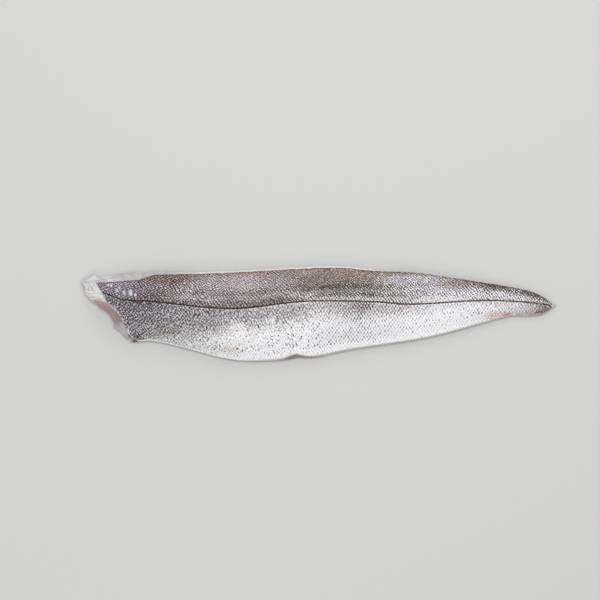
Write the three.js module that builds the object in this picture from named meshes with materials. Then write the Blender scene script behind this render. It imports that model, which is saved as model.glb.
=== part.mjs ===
// A skin-on hake fillet, lying flat with its skin side up.
// It is one piece of fish: the skin is grown onto the flesh, so the whole fillet is one closed solid.
// Millimetres, +Z up. X runs from the head cut to the tail, Y from the belly edge to the back edge.
import * as THREE from "three";

// Small sizes of the cut edge and the skin.
const SKIN_THICKNESS = 0.8; // the step at the edge of the skin
const RIM = 0.9; // height of the flesh's blunt lower edge above the surface it lies on
const RIM_INSET = 0.8; // how far at most the flat underside stops short of the outline,
const RIM_INSET_SHARE = 0.5; // and the largest share of the bare flesh's reach that this may take
const LINE_GROOVE = 0.5; // depth of the crease along the lateral line

// The three long lines of the skin, each as [X, Y]: X is counted from the foremost tip of the flesh,
// and Y from the fillet's straight middle axis.
const BACK_EDGE = [
  [13.7, 28.9], [61, 32], [116, 33.5], [182, 37], [216, 37.9], [245, 35.3], [278, 33.8], [336, 25.5],
  [361, 21.3], [377, 17.4], [386, 12.8], [392, 7.9],
];
const LATERAL_LINE = [
  [18.2, 18.2], [35, 11.8], [58, 10.2], [126, 4.2], [187, 10.1], [245, 9.7], [274, 7.7], [332, 10.7],
  [368, 9.6], [392, 6],
];
const BELLY_EDGE = [
  [47.6, -23.2], [60, -22.5], [88, -28.8], [120, -37], [144, -39.3], [194, -36], [224, -30.1], [290, -19.8],
  [348, -4.5], [359, -2.2], [377, -2.1], [386, 0], [392, 4.1],
];

// Near the head the skin is trimmed back from the back edge, and a nick is cut into the belly edge.
// The head cut bows to and fro below the line, by [share of the way from line to belly, shift along X].
const TRIM_DEPTH = 3.5;
const TRIM_START = 47;
const TRIM_END = 63;
const NICK_DEPTH = 3.2;
const NICK_AT = 179;
const NICK_REACH = 8;
const HEAD_BOW = [[0, 0], [0.18, -0.8], [0.44, 1.8], [0.66, 0], [0.87, -2.4], [1, 0]];
const HEAD_BOW_FADE = 0.08; // share of the length over which the bow dies out

// Heights of the skin above the underside, each as [X, height].
const LOIN_HEIGHT = [[14, 15], [60, 20], [120, 22], [200, 19.5], [280, 13.5], [340, 8.5], [380, 5], [392, 3.6]];
const THICKEST = Math.max(...LOIN_HEIGHT.map(([, height]) => height));
const BACK_HEIGHT = [[14, 8], [60, 10], [120, 10.5], [200, 9], [280, 6.5], [340, 4.5], [392, 2.4]];
const BELLY_HEIGHT = [[47, 4.5], [200, 4.5], [280, 4], [340, 3.2], [392, 2.2]];
const LOIN_CREST = 0.34; // where the fillet is thickest, as a share of the way from back to belly
const BELLY_FULLNESS = 2.1; // how long the belly side stays high before it rolls down

// Soft swells of the flesh under the skin, each as [height, wavelength along X, wavelength along Y, phase].
const SWELLS = [[0.55, 62, 95, 0.4], [0.35, 37, 58, 2.1]];

// How far bare flesh reaches past the skin's edge: along the back and belly by [X, reach],
// and at the head and tail cuts by [share of the way from back to belly, reach].
const BACK_FLESH = [[14, 2.5], [42, 7], [56, 4], [70, 2.8], [110, 1.6], [230, 1.5], [260, 0.6], [392, 0.4]];
const BELLY_FLESH = [[47, 1.2], [80, 0.8], [165, 0.9], [177, 2.8], [190, 1.2], [230, 0.7], [392, 0.4]];
const HEAD_FLESH = [
  [0, 13.5], [0.25, 14], [0.42, 15], [0.5, 14], [0.58, 11.5], [0.66, 11], [0.77, 8.5], [0.82, 10], [0.88, 6.5],
  [1, 6],
];
const TAIL_FLESH = [[0, 0.8], [0.5, 3.6], [1, 0.8]];
const CORNER_BLEND = 0.06; // share of the length over which the head cut's reach fades along the edges

// A lobe of flesh at the back corner of the head cut swells past the outline.
const LOBE_AT = 9.8;
const LOBE_REACH = 3;
const LOBE_RISE = 4;

// Facets: stations along the fillet, steps on either side of the lateral line, and steps down the cut face.
const STATIONS = 96;
const BACK_STEPS = 8;
const BELLY_STEPS = 12;
const FACE_STEPS = 3;
const ACROSS = BACK_STEPS + BELLY_STEPS;
const SPINE_START = 7; // first and last station of the underside's middle row of points
const SPINE_END = STATIONS - 4;

// A smooth curve through a list of [position, value], read at one position.
function through(points, position) {
  const last = points.length - 1;
  const above = points.findIndex((point) => point[0] > position);
  const k = THREE.MathUtils.clamp((above === -1 ? last : above) - 1, 0, last - 1);
  const [x0, y0] = points[k];
  const [x1, y1] = points[k + 1];
  const slope = (i) => {
    const [xa, ya] = points[Math.max(i - 1, 0)];
    const [xb, yb] = points[Math.min(i + 1, last)];
    return (yb - ya) / (xb - xa);
  };
  const run = x1 - x0;
  const t = THREE.MathUtils.clamp((position - x0) / run, 0, 1);
  const rise = (1 + 2 * t) * (1 - t) ** 2 * y0 + t * t * (3 - 2 * t) * y1;
  return rise + run * (t * (1 - t) ** 2 * slope(k) - t * t * (1 - t) * slope(k + 1));
}

// A point of one of the long lines at a share of its length.
function along(line, share) {
  const x = THREE.MathUtils.lerp(line[0][0], line[line.length - 1][0], share);
  return new THREE.Vector2(x, through(line, x));
}

// The edge of the skin along the back, with its trimmed stretch.
function trimmedBack(share) {
  const edge = along(BACK_EDGE, share);
  edge.y -= TRIM_DEPTH * (1 - THREE.MathUtils.smoothstep(edge.x, TRIM_START, TRIM_END));
  return edge;
}

// The edge of the skin along the belly, with its nick.
function nickedBelly(share) {
  const edge = along(BELLY_EDGE, share);
  edge.y += NICK_DEPTH * Math.exp(-(((edge.x - NICK_AT) / NICK_REACH) ** 2));
  return edge;
}

// Height of the skin at a place on it, where width is the share of the way from back to belly.
function skinHeight(x, y, width) {
  const loin = through(LOIN_HEIGHT, x);
  const onBack = width < LOIN_CREST;
  const edge = onBack ? through(BACK_HEIGHT, x) : through(BELLY_HEIGHT, x);
  const crown = onBack
    ? Math.sin((Math.PI / 2) * (width / LOIN_CREST))
    : 1 - ((width - LOIN_CREST) / (1 - LOIN_CREST)) ** BELLY_FULLNESS;
  const swell = SWELLS.reduce(
    (sum, [height, waveX, waveY, phase]) =>
      sum + height * Math.sin((2 * Math.PI * x) / waveX + phase) * Math.cos((2 * Math.PI * y) / waveY),
    0,
  );
  return edge + (loin - edge) * crown + (swell * crown * loin) / THICKEST;
}

// A point on the skin: station 0 is the head cut, and step 0 the back edge.
function skinPoint(station, step) {
  const share = station / STATIONS;
  const line = along(LATERAL_LINE, share);
  const toBack = Math.max(0, 1 - step / BACK_STEPS);
  const toBelly = Math.max(0, (step - BACK_STEPS) / BELLY_STEPS);
  const place = toBack > 0
    ? line.clone().lerp(trimmedBack(share), toBack)
    : line.clone().lerp(nickedBelly(share), toBelly);
  place.x += through(HEAD_BOW, toBelly) * Math.max(0, 1 - share / HEAD_BOW_FADE) ** 2;
  const back = along(BACK_EDGE, share).y;
  const width = (back - place.y) / (back - along(BELLY_EDGE, share).y);
  const groove = step === BACK_STEPS ? LINE_GROOVE : 0;
  return new THREE.Vector3(place.x, place.y, skinHeight(place.x, place.y, width) - groove);
}

// The stations and steps round the edge of the skin: along the back, round the tail, the belly and the head.
function edgeRound() {
  const round = [];
  for (let i = 0; i < STATIONS; i++) round.push([i, 0]);
  for (let j = 0; j < ACROSS; j++) round.push([STATIONS, j]);
  for (let i = STATIONS; i > 0; i--) round.push([i, ACROSS]);
  for (let j = ACROSS; j > 0; j--) round.push([0, j]);
  return round;
}

// How far the flesh's outline lies from the edge of the skin, at one place of that edge.
function fleshReach(station, step, edge) {
  const width = step / ACROSS;
  const ahead = through(HEAD_FLESH, width) * Math.max(0, 1 - station / STATIONS / CORNER_BLEND) ** 2;
  const behind = station === STATIONS ? through(TAIL_FLESH, width) : 0;
  const lobe = LOBE_RISE * Math.exp(-(((edge.x - ahead - LOBE_AT) / LOBE_REACH) ** 2));
  const above = step === 0 ? through(BACK_FLESH, edge.x) + lobe : 0;
  const below = step === ACROSS ? through(BELLY_FLESH, edge.x) : 0;
  return new THREE.Vector2(behind - ahead, above - below);
}

// The loops of points from the edge of the skin, down the cut face, to the edge of the flat underside.
function edgeLoops(round) {
  const loops = Array.from({ length: FACE_STEPS + 2 }, () => []);
  for (const [station, step] of round) {
    const edge = skinPoint(station, step);
    const reach = fleshReach(station, step, edge);
    for (let k = 0; k <= FACE_STEPS; k++) {
      const down = k / FACE_STEPS;
      const out = Math.sin((Math.PI / 2) * down);
      const height = THREE.MathUtils.lerp(edge.z - SKIN_THICKNESS, RIM, down);
      loops[k].push(new THREE.Vector3(edge.x + reach.x * out, edge.y + reach.y * out, height));
    }
    const under = 1 - Math.min(RIM_INSET_SHARE, RIM_INSET / reach.length());
    loops[FACE_STEPS + 1].push(new THREE.Vector3(edge.x + reach.x * under, edge.y + reach.y * under, 0));
  }
  return loops;
}

// The middle row of points of the underside, halfway between the back and belly edges.
function spinePoint(station) {
  const share = station / STATIONS;
  const middle = along(BACK_EDGE, share).lerp(along(BELLY_EDGE, share), 0.5);
  return new THREE.Vector3(middle.x, middle.y, 0);
}

// The fillet's closed surface: the skin, the step at its edge, the flesh's cut face, and the flat underside.
function filletGeometry() {
  const points = [];
  const faces = [];
  const quad = (a, b, c, d) => faces.push(a, b, c, a, c, d);
  const skin = (i, j) => i * (ACROSS + 1) + j;
  for (let i = 0; i <= STATIONS; i++) {
    for (let j = 0; j <= ACROSS; j++) points.push(skinPoint(i, j));
  }
  for (let i = 0; i < STATIONS; i++) {
    for (let j = 0; j < ACROSS; j++) quad(skin(i, j), skin(i, j + 1), skin(i + 1, j + 1), skin(i + 1, j));
  }

  const round = edgeRound();
  let above = round.map(([i, j]) => skin(i, j));
  for (const loop of edgeLoops(round)) {
    const below = loop.map((point) => points.push(point) - 1);
    below.forEach((corner, n) => {
      const next = (n + 1) % below.length;
      quad(above[n], above[next], below[next], corner);
    });
    above = below;
  }

  const firstSpine = points.length;
  const spine = (station) => firstSpine + THREE.MathUtils.clamp(station, SPINE_START, SPINE_END) - SPINE_START;
  for (let i = SPINE_START; i <= SPINE_END; i++) points.push(spinePoint(i));
  round.forEach(([station], n) => {
    const next = (n + 1) % round.length;
    const here = spine(station);
    const ahead = spine(round[next][0]);
    faces.push(above[n], above[next], ahead);
    if (ahead !== here) faces.push(above[n], ahead, here);
  });

  const geometry = new THREE.BufferGeometry().setFromPoints(points);
  geometry.setIndex(faces);
  geometry.computeVertexNormals();
  return geometry;
}

// The origin is on the surface the fillet lies on, under the middle of its length and width.
function standOnOrigin(geometry) {
  geometry.computeBoundingBox();
  const { min, max } = geometry.boundingBox;
  return geometry.translate(-(min.x + max.x) / 2, -(min.y + max.y) / 2, -min.z);
}

const silverSkin = new THREE.MeshStandardMaterial({ color: 0xb4aeb0, roughness: 0.38, metalness: 0.1 });
const fillet = new THREE.Mesh(standOnOrigin(filletGeometry()), silverSkin);
fillet.name = "hake_fillet";

const part = new THREE.Group();
part.add(fillet);

export default part;
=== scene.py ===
"""A skin-on hake fillet laid skin side up: its flesh, its scaled skin, and a plain studio round it."""
from types import SimpleNamespace

import bpy
import numpy as np
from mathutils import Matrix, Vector, noise


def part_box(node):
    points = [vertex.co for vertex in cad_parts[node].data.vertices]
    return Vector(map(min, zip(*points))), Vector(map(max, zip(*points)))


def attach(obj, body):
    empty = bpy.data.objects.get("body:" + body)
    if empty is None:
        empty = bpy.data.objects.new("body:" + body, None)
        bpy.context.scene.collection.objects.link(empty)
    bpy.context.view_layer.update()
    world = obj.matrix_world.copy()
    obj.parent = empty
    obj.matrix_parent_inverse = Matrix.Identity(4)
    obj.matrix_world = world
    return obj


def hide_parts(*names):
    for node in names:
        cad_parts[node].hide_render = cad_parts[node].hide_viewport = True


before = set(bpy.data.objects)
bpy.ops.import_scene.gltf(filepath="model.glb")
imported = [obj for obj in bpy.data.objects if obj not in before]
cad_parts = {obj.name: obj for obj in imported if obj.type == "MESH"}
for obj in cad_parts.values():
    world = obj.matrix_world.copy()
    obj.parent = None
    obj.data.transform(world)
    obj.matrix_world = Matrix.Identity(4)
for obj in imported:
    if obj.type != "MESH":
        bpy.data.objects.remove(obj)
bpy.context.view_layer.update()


# The flesh
# One whole side of a raw hake, cut off the backbone and trimmed, lying on its cut side. Pale muscle in
# thin flakes, bare at the slanted head cut, as a band along the back near it, and all over the underside.
NODE = "hake_fillet"
BODY = "root"
MM = 0.001

# Lines of the fillet in millimetres: X from the foremost tip of the flesh, Y from a straight middle axis.
BACK_EDGE = [
    (13.7, 28.9), (61, 32), (116, 33.5), (182, 37), (216, 37.9), (245, 35.3), (278, 33.8), (336, 25.5),
    (361, 21.3), (377, 17.4), (386, 12.8), (392, 7.9),
]
LATERAL_LINE = [
    (18.2, 18.2), (35, 11.8), (58, 10.2), (126, 4.2), (187, 10.1), (245, 9.7), (274, 7.7), (332, 10.7),
    (368, 9.6), (392, 6.6),
]
BELLY_EDGE = [
    (47.6, -23.2), (60, -22.5), (88, -28.8), (120, -37), (144, -39.3), (194, -36), (224, -30.1),
    (290, -19.8), (348, -4.5), (359, -2.2), (377, -2.1), (386, 0), (392, 4.1),
]
LENGTH = 395.4
TRIM_DEPTH = 3.5
TRIM_FADE = (47, 63)
NICK_DEPTH = 3.2
NICK_AT = 179
NICK_REACH = 8
HEAD_BOW = [(0, 0), (0.18, -0.8), (0.44, 1.8), (0.66, 0), (0.87, -2.4), (1, 0)]
HEAD_BOW_FADE = 0.08

# Heights of the skin above the underside, and the bare flesh's reach past the skin's edge.
LOIN_HEIGHT = [(14, 15), (60, 20), (120, 22), (200, 19.5), (280, 13.5), (340, 8.5), (380, 5), (392, 3.6)]
BACK_HEIGHT = [(14, 8), (60, 10), (120, 10.5), (200, 9), (280, 6.5), (340, 4.5), (392, 2.4)]
BELLY_HEIGHT = [(47, 4.5), (200, 4.5), (280, 4), (340, 3.2), (392, 2.2)]
THICKEST = 22
LOIN_CREST = 0.34
BELLY_FULLNESS = 2.1
SWELLS = [(0.55, 62, 95, 0.4), (0.35, 37, 58, 2.1)]
BACK_FLESH = [(14, 2.5), (42, 7), (56, 4), (70, 2.8), (110, 1.6), (230, 1.5), (260, 0.6), (392, 0.4)]
BELLY_FLESH = [(47, 1.2), (80, 0.8), (165, 0.9), (177, 2.8), (190, 1.2), (230, 0.7), (392, 0.4)]
HEAD_FLESH = [
    (0, 13.5), (0.25, 14), (0.42, 15), (0.5, 14), (0.58, 11.5), (0.66, 11), (0.77, 8.5), (0.82, 10),
    (0.88, 6.5), (1, 6),
]
TAIL_FLESH = [(0, 0.8), (0.5, 3.6), (1, 0.8)]
CORNER_BLEND = 0.06
LOBE_AT = 9.8
LOBE_REACH = 3
LOBE_RISE = 4
SKIN_THICKNESS = 0.8
SKIN_SEAT = 0.5
RIM = 0.9
RIM_INSET = 0.8
RIM_INSET_SHARE = 0.5


def through(points, position):
    """A smooth curve through a list of (position, value), read at any positions."""
    at, value = np.array(points, float).T
    before = np.maximum(np.arange(len(at)) - 1, 0)
    after = np.minimum(np.arange(len(at)) + 1, len(at) - 1)
    slope = (value[after] - value[before]) / (at[after] - at[before])
    k = np.clip(np.searchsorted(at, position, side="right") - 1, 0, len(at) - 2)
    run = at[k + 1] - at[k]
    t = np.clip((position - at[k]) / run, 0, 1)
    rise = (1 + 2 * t) * (1 - t) ** 2 * value[k] + t * t * (3 - 2 * t) * value[k + 1]
    return rise + run * (t * (1 - t) ** 2 * slope[k] - t * t * (1 - t) * slope[k + 1])


def ease(start, end, position):
    """A smooth step from 0 at start to 1 at end."""
    t = np.clip((position - start) / (end - start), 0, 1)
    return t * t * (3 - 2 * t)


def between(first, last, share):
    """A value some share of the way from the first to the last."""
    return first + (last - first) * share


def along(line, share):
    """Points of one of the long lines at shares of its length."""
    x = between(line[0][0], line[-1][0], share)
    return np.stack([x, through(line, x)], axis=-1)


def trimmed_back(share):
    """The skin's edge along the back, trimmed lower near the head."""
    edge = along(BACK_EDGE, share)
    edge[..., 1] -= TRIM_DEPTH * (1 - ease(*TRIM_FADE, edge[..., 0]))
    return edge


def nicked_belly(share):
    """The skin's edge along the belly, with a nick from the knife."""
    edge = along(BELLY_EDGE, share)
    edge[..., 1] += NICK_DEPTH * np.exp(-(((edge[..., 0] - NICK_AT) / NICK_REACH) ** 2))
    return edge


def skin_height(x, y, width):
    """Height of the skin, where width is the share of the way from back to belly."""
    loin = through(LOIN_HEIGHT, x)
    edge = np.where(width < LOIN_CREST, through(BACK_HEIGHT, x), through(BELLY_HEIGHT, x))
    back_crown = np.sin(np.pi / 2 * np.clip(width / LOIN_CREST, 0, 1))
    belly_crown = 1 - np.clip((width - LOIN_CREST) / (1 - LOIN_CREST), 0, None) ** BELLY_FULLNESS
    crown = np.where(width < LOIN_CREST, back_crown, belly_crown)
    swell = sum(
        height * np.sin(2 * np.pi * x / wave_x + phase) * np.cos(2 * np.pi * y / wave_y)
        for height, wave_x, wave_y, phase in SWELLS
    )
    return between(edge, loin, crown) + swell * crown * loin / THICKEST


def on_skin(share, across):
    """Points of the skin: share runs from head to tail, across from back (-1) by line (0) to belly (1)."""
    line = along(LATERAL_LINE, share)
    to_back = (trimmed_back(share) - line) * np.clip(-across, 0, 1)[..., None]
    to_belly = (nicked_belly(share) - line) * np.clip(across, 0, 1)[..., None]
    plan = line + to_back + to_belly
    bow = through(HEAD_BOW, np.clip(across, 0, 1)) * np.clip(1 - share / HEAD_BOW_FADE, 0, 1) ** 2
    plan[..., 0] += bow
    back = along(BACK_EDGE, share)[..., 1]
    width = (back - plan[..., 1]) / (back - along(BELLY_EDGE, share)[..., 1])
    height = skin_height(plan[..., 0], plan[..., 1], width)
    return np.concatenate([plan, height[..., None]], axis=-1)


def ribs(stations, back_steps, belly_steps):
    """Share and across values at each point of a grid over the skin."""
    share = np.linspace(0, 1, stations + 1)[:, None]
    across = np.concatenate([np.linspace(-1, 0, back_steps + 1), np.linspace(0, 1, belly_steps + 1)[1:]])
    return np.broadcast_arrays(share, across[None, :])


def edge_round(stations, steps):
    """Grid places round the edge: along the back, round the tail, along the belly, up the head cut."""
    i = np.arange(stations + 1)
    j = np.arange(steps + 1)
    rows = np.concatenate([i[:-1], np.full(steps, stations), i[:0:-1], np.zeros(steps, int)])
    columns = np.concatenate([np.zeros(stations, int), j[:-1], np.full(stations, steps), j[:0:-1]])
    return rows, columns


def flesh_reach(share, width, x, on_back, on_belly, on_tail):
    """How far the flesh's outline lies from the skin's edge, in X and Y."""
    ahead = through(HEAD_FLESH, width) * np.clip(1 - share / CORNER_BLEND, 0, 1) ** 2
    behind = np.where(on_tail, through(TAIL_FLESH, width), 0)
    lobe = LOBE_RISE * np.exp(-(((x - ahead - LOBE_AT) / LOBE_REACH) ** 2))
    above = np.where(on_back, through(BACK_FLESH, x) + lobe, 0)
    below = np.where(on_belly, through(BELLY_FLESH, x), 0)
    return np.stack([behind - ahead, above - below], axis=-1)


def grid_faces(first, rows, columns, upward):
    """Quads of a grid of points numbered row by row from first."""
    i, j = np.meshgrid(np.arange(rows), np.arange(columns), indexing="ij")
    corner = (first + i * (columns + 1) + j).ravel()
    quads = np.stack([corner, corner + 1, corner + columns + 2, corner + columns + 1], axis=-1)
    return quads if upward else quads[:, ::-1]


def band_faces(upper, lower):
    """Quads between two closed loops of as many points."""
    return np.stack([upper, np.roll(upper, -1), np.roll(lower, -1), lower], axis=-1)


def put_in_scene(name, content):
    """An object in the scene, made of a mesh, light or camera."""
    thing = bpy.data.objects.new(name, content)
    bpy.context.scene.collection.objects.link(thing)
    return thing


def make_piece(name, points, faces, values):
    """A mesh piece from points in the fillet's own millimetres, with a named value for each point."""
    mesh = bpy.data.meshes.new(name)
    mesh.from_pydata(((points + to_frame) * MM).tolist(), [], faces)
    mesh.shade_smooth()
    for value_name, value in values.items():
        mesh.attributes.new(value_name, "FLOAT", "POINT").data.foreach_set("value", np.ravel(value))
    return put_in_scene(name, mesh)


def lumps(x, y, size):
    """Soft unevenness between about -1 and 1, with lumps of one size."""
    spots = np.stack(np.broadcast_arrays(x, y), axis=-1).reshape(-1, 2) / size
    return np.array([noise.noise(Vector((px, py, size))) for px, py in spots]).reshape(x.shape)


def hump(position, middle, reach):
    """A smooth bump: 1 at its middle and 0 from its reach on."""
    return 1 - ease(0, reach, np.abs(position - middle))


FLESH_STATIONS = 320
FLESH_BACK_STEPS = 32
FLESH_BELLY_STEPS = 48
FLESH_STEPS = FLESH_BACK_STEPS + FLESH_BELLY_STEPS
FACE_STEPS = 24
# Raggedness of the outline: shares of its reach, and sizes of lumps. The long edges have less of it than
# the head cut, which is fully ragged from the middle of its width on.
RAGGED = [(0.16, 6.5), (0.09, 2.3)]
LONG_EDGE_SHARE = 0.3
FULLY_RAGGED = (0.35, 0.5)
# Relief of the head cut: level layers near the back, then upright ridges, then level streaks, each with its
# place in shares of the cut's width, and lumps all over.
LAYER_RELIEF = 0.25
LAYERS = 4
LAYER_WAVE = 0.1
LAYERS_END = (0.36, 0.44)
RIDGE_RELIEF = 0.22
RIDGE_PITCH = 2.6
RIDGES_PLACE = (0.46, 0.07)
STREAKS = 3
STREAK_WAVE = 0.12
STREAKS_PLACE = (0.65, 0.14)
LUMP_RELIEF = 0.35
LUMP_SIZE = 5
LUMPS_DOWN = 8
# Relief of the underside: flakes with bent seams, shallow pits, and the middle line. It fades in from the
# head over a share of the length.
FLAKE_RELIEF = 0.35
FLAKE_LENGTH = 9
FLAKE_BEND = 16
FLAKE_WANDER = 1.5
WANDER_LENGTH = 17
SEAM_WIDTH = 0.09
PIT_SHARE = 0.4
PIT_SIZE = 7
UNDER_FADE = 1 / 24
MIDLINE_AT = 0.45
MIDLINE_WIDTH = 0.016
MIDLINE_RELIEF = 0.5
# The underside's value on the way down the cut face, which runs from 0 at the skin to 1 at the outline.
UNDERSIDE_DOWN = 1.3

share, across = ribs(FLESH_STATIONS, FLESH_BACK_STEPS, FLESH_BELLY_STEPS)
seat = on_skin(share, across) - (0, 0, SKIN_SEAT)
rows, columns = edge_round(FLESH_STATIONS, FLESH_STEPS)
edge = seat[rows, columns]
edge_share = rows / FLESH_STATIONS
edge_width = columns / FLESH_STEPS
reach = flesh_reach(
    edge_share, edge_width, edge[:, 0], columns == 0, columns == FLESH_STEPS, rows == FLESH_STATIONS
)
low_corner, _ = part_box(NODE)
to_frame = np.append(np.array(low_corner[:2]) / MM - (edge[:, :2] + reach).min(axis=0), 0)
around = np.cumsum(np.linalg.norm(np.diff(edge[:, :2], axis=0, append=edge[:1, :2]), axis=1))
head_face = np.clip(1 - edge_share / CORNER_BLEND, 0, 1)
raggedness = between(LONG_EDGE_SHARE, 1, head_face * ease(*FULLY_RAGGED, edge_width))
for amount, size in RAGGED:
    reach *= 1 + (amount * raggedness * lumps(around, 0, size))[:, None]

# The cut face, in loops from the skin's edge out and down to the outline.
loops = []
for k in range(1, FACE_STEPS + 1):
    down = k / FACE_STEPS
    out = np.sin(np.pi / 2 * down)
    loop = np.empty((len(edge), 3))
    loop[:, :2] = edge[:, :2] + reach * out
    loop[:, 2] = between(edge[:, 2], RIM, down)
    bend = lumps(around, LUMPS_DOWN * down, LUMP_SIZE)
    layer = np.sin(2 * np.pi * LAYERS * (down + LAYER_WAVE * bend)) * (1 - ease(*LAYERS_END, edge_width))
    ridge = np.sin(2 * np.pi * around / RIDGE_PITCH + bend) * hump(edge_width, *RIDGES_PLACE)
    streak = np.sin(2 * np.pi * STREAKS * (down + STREAK_WAVE * bend))
    streak *= hump(edge_width, *STREAKS_PLACE)
    relief = head_face * (LAYER_RELIEF * layer + RIDGE_RELIEF * (ridge + streak))
    relief += LUMP_RELIEF * bend * raggedness
    loop[:, 2] += relief * np.sin(np.pi * down)
    loops.append(loop)

# The underside, spread evenly inside its own outline, with the flakes' bent seams and the middle line
# where the backbone lay pressed into it.
under_share = 1 - np.minimum(RIM_INSET_SHARE, RIM_INSET / np.linalg.norm(reach, axis=1))
under = np.empty((FLESH_STATIONS + 1, FLESH_STEPS + 1, 2))
under[rows, columns] = edge[:, :2] + reach * under_share[:, None]
lengthwise = np.linspace(0, 1, FLESH_STATIONS + 1)[:, None, None]
widthwise = np.linspace(0, 1, FLESH_STEPS + 1)[None, :, None]
sides = between(under[:, :1], under[:, -1:], widthwise)
ends = between(under[:1], under[-1:], lengthwise)
under = sides + ends - between(sides[:1], sides[-1:], lengthwise)
under_x = under[..., 0]
under_y = under[..., 1]
from_midline = widthwise[..., 0] - MIDLINE_AT
past_head = np.clip(lengthwise[..., 0] / UNDER_FADE, 0, 1)
inner = np.sin(np.pi / 2 * past_head) * np.sin(np.pi * widthwise[..., 0])
flake_bend = FLAKE_BEND * np.abs(2 * np.abs(from_midline) - MIDLINE_AT)
flake = (under_x + flake_bend + FLAKE_WANDER * lumps(under_x, under_y, WANDER_LENGTH)) / FLAKE_LENGTH
seam = np.exp(-(((flake - np.round(flake)) / SEAM_WIDTH) ** 2)) * inner
pits = PIT_SHARE * np.clip(lumps(under_x, under_y, PIT_SIZE), 0, 1) * inner
midline = np.exp(-((from_midline / MIDLINE_WIDTH) ** 2)) * inner
under_height = FLAKE_RELIEF * (seam + pits) + MIDLINE_RELIEF * midline
underside = np.concatenate([under, under_height[..., None]], axis=-1)

count = seat[..., 0].size
loop_size = len(edge)
flesh_points = np.concatenate([seat.reshape(-1, 3), *loops, underside.reshape(-1, 3)])
top_loop = rows * (FLESH_STEPS + 1) + columns
first_under = count + FACE_STEPS * loop_size
face_rings = np.arange(count, first_under).reshape(FACE_STEPS, loop_size)
rings = [top_loop, *face_rings, first_under + top_loop]
flesh_faces = [
    grid_faces(0, FLESH_STATIONS, FLESH_STEPS, True),
    *(band_faces(upper, lower) for upper, lower in zip(rings, rings[1:])),
    grid_faces(first_under, FLESH_STATIONS, FLESH_STEPS, False),
]


def on_face(value):
    """A value for each point round the cut face, and 0 on top and underneath."""
    return np.pad(np.tile(value, FACE_STEPS), count)


face_down = np.repeat(np.arange(1, FACE_STEPS + 1) / FACE_STEPS, loop_size)
flesh_values = {
    "along": flesh_points[:, 0],
    "crosswise": flesh_points[:, 1],
    "down": np.concatenate([np.zeros(count), face_down, np.full(count, UNDERSIDE_DOWN)]),
    "around": on_face(around),
    "head_cut": on_face(head_face),
    "width": on_face(edge_width),
    "seam": np.pad(seam.ravel(), (first_under, 0)),
    "midline": np.pad(midline.ravel(), (first_under, 0)),
}
flesh = make_piece("fillet_flesh", flesh_points, np.concatenate(flesh_faces).tolist(), flesh_values)


def tone(code):
    """A colour from its six-digit screen code, as the light values that Blender uses."""
    screen = np.array([int(code[k:k + 2], 16) for k in (0, 2, 4)]) / 255
    light = np.where(screen <= 0.04045, screen / 12.92, ((screen + 0.055) / 1.055) ** 2.4)
    return (*light.tolist(), 1)


def feed(node, inputs):
    """Links fields to a node's inputs, or sets their constant values."""
    for key, given in inputs.items():
        if isinstance(given, Field):
            given.tree.links.new(given.socket, node.inputs[key])
        else:
            node.inputs[key].default_value = given


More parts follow.
